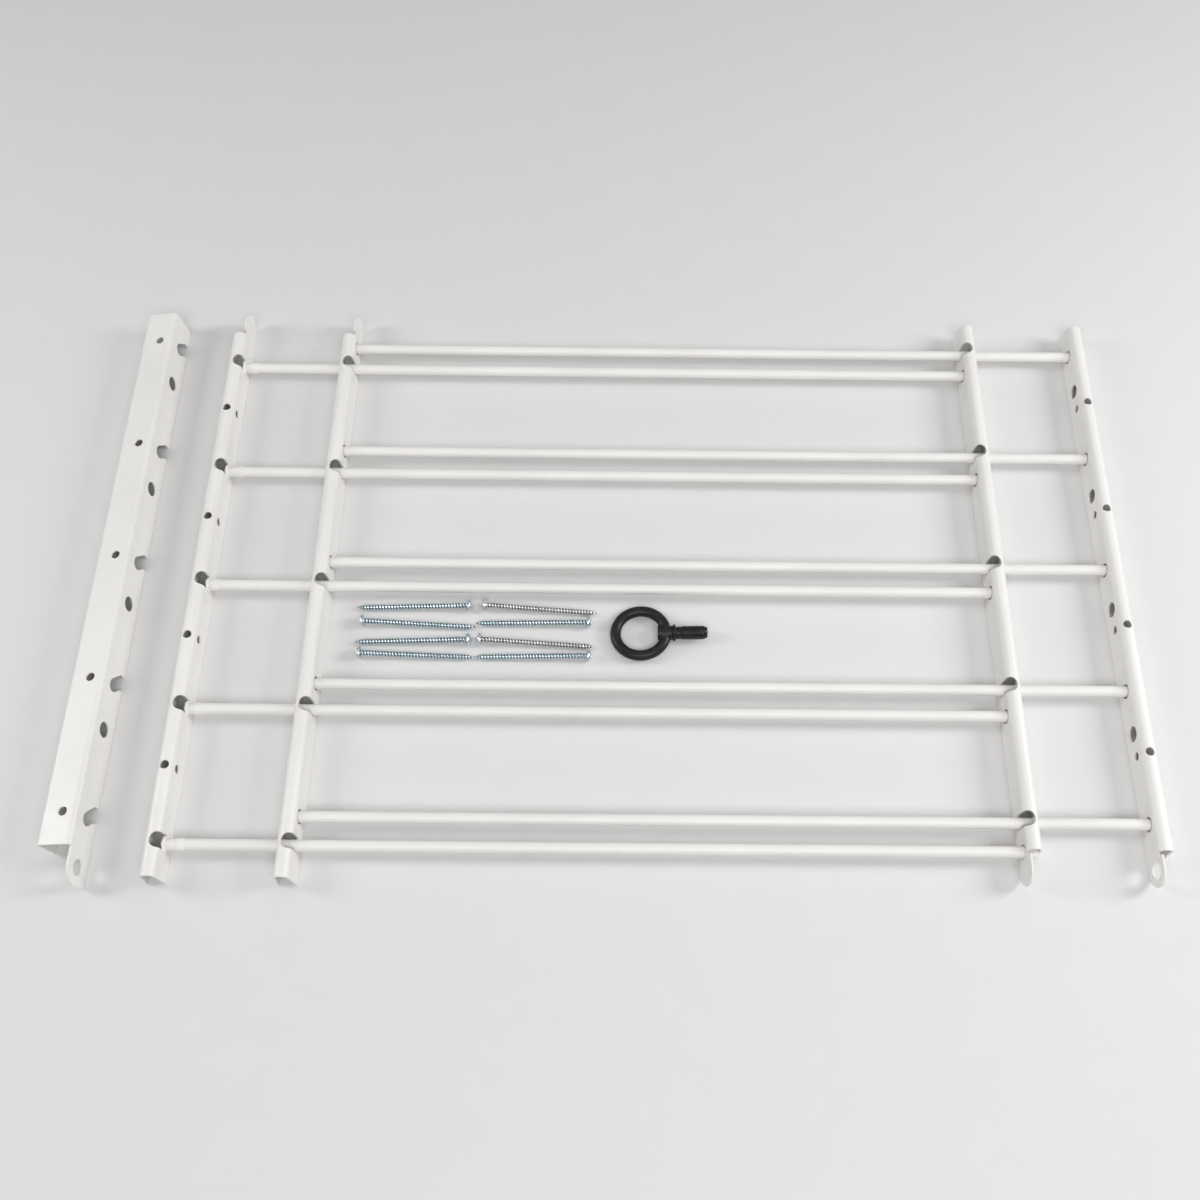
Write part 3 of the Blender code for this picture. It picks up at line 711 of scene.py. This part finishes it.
RECESS_RISE = 0.0006
RECESS_MOUTH = (0.0005, 0.0026)  # half width and half length
RECESS_FLOOR = (0.0003, 0.0012)
RECESS_STAGGER = 0.00009  # keeps the two arms' end faces apart
RECESS_TURN = 45  # degrees
# Thread faces below this share of the ridge get the painted shade of the groove.
PAINTED_SHADE_RIDGE = 0.30
SCREW_SPIN = 0.7  # radians, times the screw's index
SCREW_SHARP = math.radians(38)
GREY_SCREWS = (1, 5)  # indexes
SCREW_PLACES = (  # x and y of the head's top, then of a point that the screw aims at
    (-0.1063, -0.0204, -0.1920, -0.0220),
    (-0.0992, -0.0197, -0.0128, -0.0247),
    (-0.1878, -0.0335, -0.1036, -0.0368),
    (-0.0183, -0.0331, -0.1027, -0.0337),
    (-0.1054, -0.0477, -0.1896, -0.0495),
    (-0.1013, -0.0472, -0.0151, -0.0518),
    (-0.1877, -0.0590, -0.1022, -0.0609),
    (-0.0178, -0.0597, -0.1026, -0.0606),
)


def thread_ridge(turns):
    """Height of the thread, 0 to 1, at a number of turns: a ridge between flats."""
    phase = turns % 1.0
    return max(0.0, 1.0 - abs(phase - 0.5) / THREAD_HALF_WIDTH)


def thread_radius(x, turn):
    """Radius of the shank at a place along it and a turn, 0 to 1, round it."""
    to_tip = (SCREW_LENGTH - x) / SCREW_TIP_LENGTH
    taper = min(1.0, max(TIP_SHARE, to_tip ** TIP_CURVE))
    grow = min(1.0, (x - THREAD_START) / THREAD_RUN_IN + THREAD_FIRST_SHARE)
    ridge = thread_ridge(x / THREAD_PITCH - turn)
    return (SCREW_CORE + (SCREW_RADIUS - SCREW_CORE) * ridge * grow) * taper


def screw_form():
    """Screw along +X with its head's top at 0: domed head, threaded shank and gimlet point."""
    rows = []
    for across, up in arc((0, 0), 1.0, *DOME_ARC, DOME_STEPS):
        radius = SCREW_HEAD_RADIUS * (DOME_TOP_SHARE + DOME_SIDE_SHARE * across)
        rows.append((DOME_HEIGHT * (1 - up), [radius] * SCREW_SIDES))
    rows += [(x, [radius] * SCREW_SIDES) for x, radius in HEAD_PROFILE]
    count = int((SCREW_LENGTH - THREAD_START) / THREAD_PITCH * SAMPLES_PER_PITCH)
    for i in range(count + 1):
        x = THREAD_START + (SCREW_LENGTH - THREAD_START) * i / count
        rows.append((x, [thread_radius(x, side / SCREW_SIDES) for side in range(SCREW_SIDES)]))
    form = bmesh.new()
    rings = []
    for x, radii in rows:
        ring = []
        for side, radius in enumerate(radii):
            angle = math.tau * (side / SCREW_SIDES)
            ring.append(form.verts.new((x, radius * math.cos(angle), radius * math.sin(angle))))
        rings.append(ring)
    for number, face in enumerate(join_rings(form, rings)):
        middle = face.calc_center_median()
        turn = (number % SCREW_SIDES + 0.5) / SCREW_SIDES
        ridge = thread_ridge(middle.x / THREAD_PITCH - turn)
        # Groove faces get the second, darker zinc: painted shade in the thread's roots.
        if middle.x > SCREW_HEAD_HEIGHT and ridge < PAINTED_SHADE_RIDGE:
            face.material_index = 1
    form.faces.new(rings[0])
    form.faces.new(rings[-1])
    return form


def recess_arm(turn, stagger):
    """Cutter for one arm of the cross recess, tapering as it goes in."""
    spin = Matrix.Rotation(math.radians(turn + RECESS_TURN), 3, "X")
    outlines = []
    for x, (half, reach) in ((-RECESS_RISE - stagger, RECESS_MOUTH), (RECESS_DEPTH + stagger, RECESS_FLOOR)):
        corners = ((half, reach), (-half, reach), (-half, -reach), (half, -reach))
        outlines.append([spin @ Vector((x, y, z)) for y, z in corners])
    form = bmesh.new()
    add_prism(form, *outlines)
    return form


def screw_piece(index, surfaces):
    """One screw lying on the table in place of its CAD node."""
    node = f"screw_{index + 1}"
    head_x, head_y, toward_x, toward_y = SCREW_PLACES[index]
    obj = add_form(node + "_threaded", screw_form(), surfaces, weld=False)
    boolean_all(obj, [recess_arm(0, 0), recess_arm(90, RECESS_STAGGER)])
    obj.data.shade_smooth()
    obj.data.set_sharp_from_angle(angle=SCREW_SHARP)
    bearing = SCREW_LENGTH - SCREW_HEAD_HEIGHT - SCREW_TIP_LENGTH
    drop = math.asin((SCREW_HEAD_RADIUS - SCREW_RADIUS) / bearing)
    heading = math.atan2(toward_y - head_y, toward_x - head_x)
    lift = SCREW_HEAD_RADIUS * math.cos(drop) + SCREW_HEAD_HEIGHT * math.sin(drop)
    spin = Matrix.Rotation(SCREW_SPIN * index, 4, "X")
    place = Matrix.Translation((head_x, head_y, lift)) @ Euler((0, drop, heading)).to_matrix().to_4x4()
    obj.data.transform(place @ spin)
    return finish_piece(obj, node + "_body", "zinc_plate", node)


# ---------------------------------------------------------------- eye bolt
EYE_CENTRE = (0.0178, -0.0416)
EYE_HALF_LENGTH = 0.0184
EYE_HALF_WIDTH = 0.0176
EYE_SECTION = 0.0039
BOSS_START = 0.0124
BOSS_RADIUS = 0.0056
BOSS_END = 0.0234
COLLAR_END = 0.0254
COLLAR_RADIUS = 0.0062
RELIEF_END = 0.0300
RELIEF_RADIUS = 0.0045
SHANK_RADIUS = 0.0051
SHANK_TIP_RADIUS = 0.0036
SHANK_CHAMFER = 0.0034
SHANK_END = 0.0486
BOLT_PITCH = 0.0016
BOLT_THREAD = ((0.0, 0.00034), (0.30, 0.0), (0.55, 0.0), (0.85, 0.00034))  # (share of pitch, depth)
EYE_AROUND = 96
EYE_ACROSS = 32
BOSS_SIDES = 64
BOSS_TAPER_LENGTH = 0.003
BOSS_TAPER = 0.0004
STEM_SIDES = 56
STEM_ROOT = ((0.0015, 0.002), (0.0012, BOSS_RADIUS - 0.0008))  # (back from the boss's end, radius)
STEM_BREAK = 0.0004
STEM_EASE = 0.0003
STEM_LIP = 0.0001
STEM_CORE = 0.0008
STEM_SHARP = math.radians(48)
SKIN_VOXEL = 0.00034
MELT_FACTOR = 0.5
MELT_ROUNDS = 9


def eye_place():
    """Matrix that lays the bolt on its ring and collar."""
    tilt = math.asin((COLLAR_RADIUS - EYE_SECTION) / (EYE_HALF_LENGTH + BOSS_END))
    lift = EYE_SECTION + EYE_HALF_LENGTH * math.sin(tilt)
    return Matrix.Translation((*EYE_CENTRE, lift)) @ Euler((0, -tilt, 0)).to_matrix().to_4x4()


def eye_ring(body):
    """Forged ring and boss, melted together."""
    form = bmesh.new()
    rings = []
    for i in range(EYE_AROUND):
        turn = math.tau * i / EYE_AROUND
        ring = []
        for out, z in arc((0, 0), EYE_SECTION, 0, 360, EYE_ACROSS)[:-1]:
            x = (EYE_HALF_LENGTH + out) * math.cos(turn)
            y = (EYE_HALF_WIDTH + out) * math.sin(turn)
            ring.append(form.verts.new((x, y, z)))
        rings.append(ring)
    join_rings(form, rings, looped=True)
    obj = add_form("eye_bolt_ring", form, (OXIDE,), weld=False)
    boss = bmesh.new()
    profile = [(BOSS_START, BOSS_RADIUS), (BOSS_END - BOSS_TAPER_LENGTH, BOSS_RADIUS)]
    profile.append((BOSS_END, BOSS_RADIUS - BOSS_TAPER))
    add_turned(boss, profile, BOSS_SIDES)
    boolean_all(obj, [boss], "UNION")
    remesh = obj.modifiers.new("skin", "REMESH")
    remesh.mode = "VOXEL"
    remesh.voxel_size = SKIN_VOXEL
    remesh.use_smooth_shade = True
    melt = obj.modifiers.new("melt", "SMOOTH")
    melt.factor = MELT_FACTOR
    melt.iterations = MELT_ROUNDS
    applied(obj)
    obj.data.shade_smooth()
    obj.data.transform(eye_place())
    return finish_piece(obj, body, "black_oxide", "eye_bolt")


def eye_stem(body):
    """Collar, relief and shank of the eye bolt, with ridges turned for its fine thread."""
    form = bmesh.new()
    profile = [(BOSS_END - back, radius) for back, radius in STEM_ROOT]
    profile.append((BOSS_END, BOSS_RADIUS - BOSS_TAPER))
    profile += [(BOSS_END + STEM_LIP, COLLAR_RADIUS - STEM_EASE), (BOSS_END + STEM_BREAK, COLLAR_RADIUS)]
    profile += [(COLLAR_END - STEM_BREAK, COLLAR_RADIUS), (COLLAR_END - STEM_LIP, COLLAR_RADIUS - STEM_EASE)]
    profile += [(COLLAR_END, RELIEF_RADIUS + STEM_BREAK), (COLLAR_END + STEM_BREAK, RELIEF_RADIUS)]
    profile += [(RELIEF_END - STEM_BREAK, RELIEF_RADIUS), (RELIEF_END, RELIEF_RADIUS + STEM_EASE)]
    thread_end = SHANK_END - SHANK_CHAMFER
    x = RELIEF_END + STEM_EASE
    while x < thread_end - BOLT_PITCH:
        profile += [(x + share * BOLT_PITCH, SHANK_RADIUS - depth) for share, depth in BOLT_THREAD]
        x += BOLT_PITCH
    profile.append((thread_end, SHANK_RADIUS - STEM_LIP))
    profile.append((SHANK_END - STEM_BREAK, SHANK_TIP_RADIUS + 2 * STEM_LIP))
    profile += [(SHANK_END, SHANK_TIP_RADIUS - STEM_EASE), (SHANK_END, STEM_CORE)]
    add_turned(form, profile, STEM_SIDES)
    obj = add_form("eye_bolt_shank", form, (OXIDE,), weld=False)
    obj.data.shade_smooth()
    obj.data.set_sharp_from_angle(angle=STEM_SHARP)
    obj.data.transform(eye_place())
    return finish_piece(obj, body, "black_oxide", "eye_bolt")


# ---------------------------------------------------------------- studio
CAMERA_PLACE = (0.0087, -0.4331, 0.8589)
CAMERA_ELEVATION = math.radians(63.99)
CAMERA_YAW = 0.01564
CAMERA_ROLL = 0.02452
CAMERA_LENS = 38.64
CAMERA_SHIFT = -0.0282
CAMERA_SENSOR = 36.0
CAMERA_CLIP = (0.01, 50)
TABLE_HALF = 5.0
TABLE_CELLS = 8
TABLE_DROP = 0.00005
WORLD_COLOUR = (1.0, 0.985, 0.98, 1.0)
WORLD_STRENGTH = 0.29
SOFTBOXES = (  # name, place, aim, size, watts
    ("right_softbox", (1.45, 0.10, 0.85), (0.05, 0.0, 0.0), (0.45, 0.7), 12.0),
    ("left_softbox", (-1.40, 0.10, 0.80), (-0.05, 0.0, 0.0), (0.35, 0.6), 6.0),
    ("front_softbox", (0.15, -1.05, 1.55), (0.05, 0.0, 0.0), (1.5, 0.8), 15.0),
    ("top_softbox", (0.1, 0.75, 1.75), (0.0, 0.0, 0.0), (1.8, 0.9), 3.0),
)


def add_camera():
    forward = Vector((
        math.cos(CAMERA_ELEVATION) * math.sin(CAMERA_YAW),
        math.cos(CAMERA_ELEVATION) * math.cos(CAMERA_YAW),
        -math.sin(CAMERA_ELEVATION),
    ))
    level = Vector((math.cos(CAMERA_YAW), -math.sin(CAMERA_YAW), 0))
    up = level.cross(forward)
    right = math.cos(CAMERA_ROLL) * level + math.sin(CAMERA_ROLL) * up
    top = -math.sin(CAMERA_ROLL) * level + math.cos(CAMERA_ROLL) * up
    data = bpy.data.cameras.new("studio_camera")
    data.lens = CAMERA_LENS
    data.sensor_width = CAMERA_SENSOR
    data.shift_x = CAMERA_SHIFT
    data.clip_start, data.clip_end = CAMERA_CLIP
    camera = bpy.data.objects.new("studio_camera", data)
    bpy.context.scene.collection.objects.link(camera)
    camera.matrix_world = Matrix((
        (right.x, top.x, -forward.x, CAMERA_PLACE[0]),
        (right.y, top.y, -forward.y, CAMERA_PLACE[1]),
        (right.z, top.z, -forward.z, CAMERA_PLACE[2]),
        (0, 0, 0, 1),
    ))
    bpy.context.scene.camera = camera


def add_softbox(name, place, aim, size, power):
    """Rectangular area light aimed at a point."""
    data = bpy.data.lights.new(name, "AREA")
    data.shape = "RECTANGLE"
    data.size, data.size_y = size
    data.energy = power
    light = bpy.data.objects.new(name, data)
    bpy.context.scene.collection.objects.link(light)
    light.location = place
    way = Vector(aim) - Vector(place)
    light.rotation_euler = way.to_track_quat("-Z", "Y").to_euler()


def add_studio():
    """Floor, world and lights."""
    form = bmesh.new()
    bmesh.ops.create_grid(form, x_segments=TABLE_CELLS, y_segments=TABLE_CELLS, size=TABLE_HALF)
    floor = add_form("table_top", form, (table_paper("table_paper"),))
    floor.location.z = -TABLE_DROP
    world = bpy.data.worlds.new("studio_world")
    world.use_nodes = True
    background = world.node_tree.nodes["Background"]
    background.inputs["Color"].default_value = WORLD_COLOUR
    background.inputs["Strength"].default_value = WORLD_STRENGTH
    bpy.context.scene.world = world
    bpy.context.scene.view_settings.view_transform = "Standard"
    for softbox in SOFTBOXES:
        add_softbox(*softbox)


# ---------------------------------------------------------------- build
COAT = powder_coat("powder_coat_sheet", WHITE, 0.0)
COAT_EDGE = powder_coat("powder_coat_edge", shade(WHITE, EDGE_SHADE), EDGE_WEAR)
COAT_ROD = powder_coat("powder_coat_rod", WHITE, 0.0)
ZINC_BLUE = zinc_plate("zinc_blue_white", ZINC_BLUE_TINTS)
# The second zinc of each pair is painted shade for the thread's grooves.
ZINC_BLUE_PAINTED_SHADE = zinc_plate("zinc_blue_painted_shade", ZINC_BLUE_PAINTED_SHADE_TINTS)
ZINC_GREY = zinc_plate("zinc_neutral", ZINC_GREY_TINTS)
ZINC_GREY_PAINTED_SHADE = zinc_plate("zinc_neutral_painted_shade", ZINC_GREY_PAINTED_SHADE_TINTS)
OXIDE = black_oxide("black_oxide_forged")

add_camera()
add_studio()

LEFT_RODS, ROD_Z = rod_rows("left")
RIGHT_RODS, _ = rod_rows("right")


def left_end_cutters(left, right, top):
    """Openings over the rods, and small holes in the crown and the visible flange."""
    bays = run_of(LEFT_HOLE_START, ROW_PITCH, BAYS)
    return shoulder_openings(right, -1, END_OPENING_REACH, LEFT_RODS, ROD_Z, top) + [
        flange_holes(right, -1, bays, SMALL_HOLE_RADIUS, LEFT_HOLE_HEIGHT),
        top_holes((left + right) / 2, bays, SMALL_HOLE_RADIUS, top),
    ]


def right_guide_cutters(left, right, top):
    """Openings over the left grille's rods, and holes for the rods of both grilles."""
    return shoulder_openings(right, -1, GUIDE_OPENING_REACH, LEFT_RODS, ROD_Z, top) + [
        flange_holes(left, 1, LEFT_RODS, ROD_HOLE_RADIUS, ROD_Z),
        flange_holes(right, -1, RIGHT_RODS, ROD_HOLE_RADIUS, ROD_Z),
    ]


def left_guide_cutters(left, right, top):
    """Openings over the right grille's rods, and holes for the rods of both grilles."""
    return shoulder_openings(left, 1, GUIDE_OPENING_REACH, RIGHT_RODS, ROD_Z, top) + [
        flange_holes(right, -1, RIGHT_RODS, ROD_HOLE_RADIUS, ROD_Z),
        flange_holes(left, 1, LEFT_RODS, ROD_HOLE_RADIUS, ROD_Z),
    ]


def right_end_cutters(left, right, top):
    """Holes for the rods, and for the screws and the screwdriver that fix the upright."""
    large = run_of(RIGHT_LARGE_HOLE_START, RIGHT_HOLE_PITCH, BAYS)
    small = run_of(RIGHT_SMALL_HOLE_START, RIGHT_HOLE_PITCH, BAYS)
    return [
        flange_holes(left, 1, RIGHT_RODS, ROD_HOLE_RADIUS, ROD_Z),
        flange_holes(left, 1, large, LARGE_HOLE_RADIUS, RIGHT_HOLE_HEIGHT),
        flange_holes(left, 1, small, SMALL_HOLE_RADIUS, RIGHT_HOLE_HEIGHT),
        flange_holes(right, -1, large, SCREW_HOLE_RADIUS, RIGHT_HOLE_HEIGHT),
        top_holes((left + right) / 2, small, SMALL_HOLE_RADIUS, top),
    ]


jamb_channel("jamb_channel")
upright("left_end_upright", "far right", False, left_end_cutters, "left_frame")
upright("left_guide_upright", "near left", False, left_guide_cutters, "left_frame")
upright("right_guide_upright", "far right", False, right_guide_cutters, "right_frame")
upright("right_end_upright", "near left", True, right_end_cutters, "right_frame")
for number in range(1, ROWS + 1):
    rod_piece(f"left_rod_{number}", "left_frame")
    rod_piece(f"right_rod_{number}", "right_frame")
end_face = kit_box("left_end_upright")[1].x
for number, rod_y in enumerate(LEFT_RODS, 1):
    place = (end_face - WELD_INSET, rod_y, ROD_Z)
    weld_bead(f"left_end_weld_{number}", place, WELD_MAJOR, WELD_MINOR, number, "left_frame")
    tail = f"left_end_weld_tail_{number}"
    place = (end_face + LUMP_REACH * (1 + number % LUMP_PLACES), rod_y, ROD_Z)
    weld_bead(tail, place, LUMP_MAJOR, LUMP_MINOR, LUMP_SEED + number, "left_frame", LUMP_LENGTH)
for number in range(len(SCREW_PLACES)):
    grey = number in GREY_SCREWS
    screw_piece(number, (ZINC_GREY, ZINC_GREY_PAINTED_SHADE) if grey else (ZINC_BLUE, ZINC_BLUE_PAINTED_SHADE))
eye_ring("eye_bolt_body")
eye_stem("eye_bolt_body")
